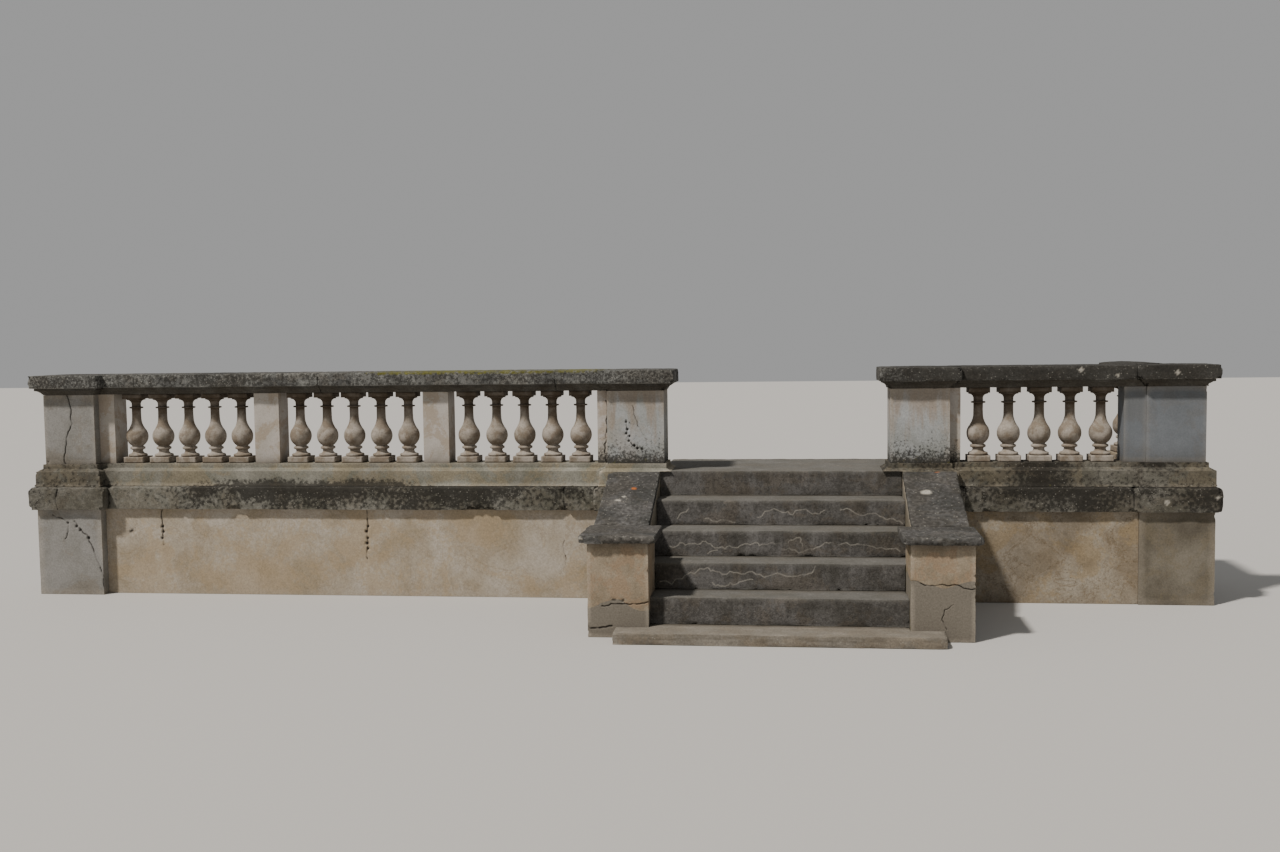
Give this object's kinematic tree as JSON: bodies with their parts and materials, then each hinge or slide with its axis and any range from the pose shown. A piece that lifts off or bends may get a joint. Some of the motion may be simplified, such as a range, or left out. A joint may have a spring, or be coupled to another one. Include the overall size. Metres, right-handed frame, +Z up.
{
  "type": "balustraded garden stair",
  "caption": "Stone garden stair between capped piers, with sloping cheeks, pedestals and balustraded terrace walls on moulded courses.",
  "frame": {"origin": "middle of the stair, in the plane of the front face of the wall's dies, at the ground", "axes": "+X along the wall to the right of someone climbing, +Y up the stair and through the wall, +Z up"},
  "size_m": [8.828, 2.473, 1.7],
  "materials": {
    "coping_stone": "weathered, dark lichen crust",
    "band_stone": "weathered, black mottled crust",
    "base_stone": "weathered, grey beige",
    "die_stone": "smooth dressed, rain stained",
    "dado_stone": "rendered, ochre stained",
    "baluster_stone": "turned, weathered",
    "step_stone": "worn, dirty risers",
    "ramp_stone": "weathered, speckled lichen",
    "core_masonry": "rough rubble and render"
  },
  "bodies": {
    "root": {"bottom_slab": "step_stone", "corner_pier_band": "band_stone", "corner_pier_base": "base_stone", "corner_pier_cap": "coping_stone", "corner_pier_die": "die_stone", "corner_pier_plinth": "dado_stone", "corner_respond": "die_stone", "landing_slab": "step_stone", "left_balusters_1": "baluster_stone", "left_balusters_2": "baluster_stone", "left_balusters_3": "baluster_stone", "left_band": "band_stone", "left_base": "base_stone", "left_cheek_wall": "dado_stone", "left_coping": "coping_stone", "left_divider_1": "die_stone", "left_divider_2": "die_stone", "left_end_pier_band": "band_stone", "left_end_pier_base": "base_stone", "left_end_pier_cap": "coping_stone", "left_end_pier_die": "die_stone", "left_end_pier_plinth": "dado_stone", "left_end_respond": "die_stone", "left_inner_pier_band": "band_stone", "left_inner_pier_base": "base_stone", "left_inner_pier_cap": "coping_stone", "left_inner_pier_die": "die_stone", "left_inner_pier_plinth": "dado_stone", "left_inner_respond": "die_stone", "left_pedestal": "dado_stone", "left_pedestal_cap": "ramp_stone", "left_ramp_slab": "ramp_stone", "left_wall": "dado_stone", "return_balusters": "baluster_stone", "return_coping": "coping_stone", "return_respond": "die_stone", "return_wall": "dado_stone", "right_balusters": "baluster_stone", "right_band": "band_stone", "right_base": "base_stone", "right_cheek_wall": "dado_stone", "right_coping": "coping_stone", "right_inner_pier_band": "band_stone", "right_inner_pier_base": "base_stone", "right_inner_pier_cap": "coping_stone", "right_inner_pier_die": "die_stone", "right_inner_pier_plinth": "dado_stone", "right_inner_respond": "die_stone", "right_pedestal": "dado_stone", "right_pedestal_cap": "ramp_stone", "right_ramp_slab": "ramp_stone", "right_wall": "dado_stone", "stair_core": "core_masonry", "step_1": "step_stone", "step_2": "step_stone", "step_3": "step_stone", "step_4": "step_stone"}
  },
  "joints": []
}
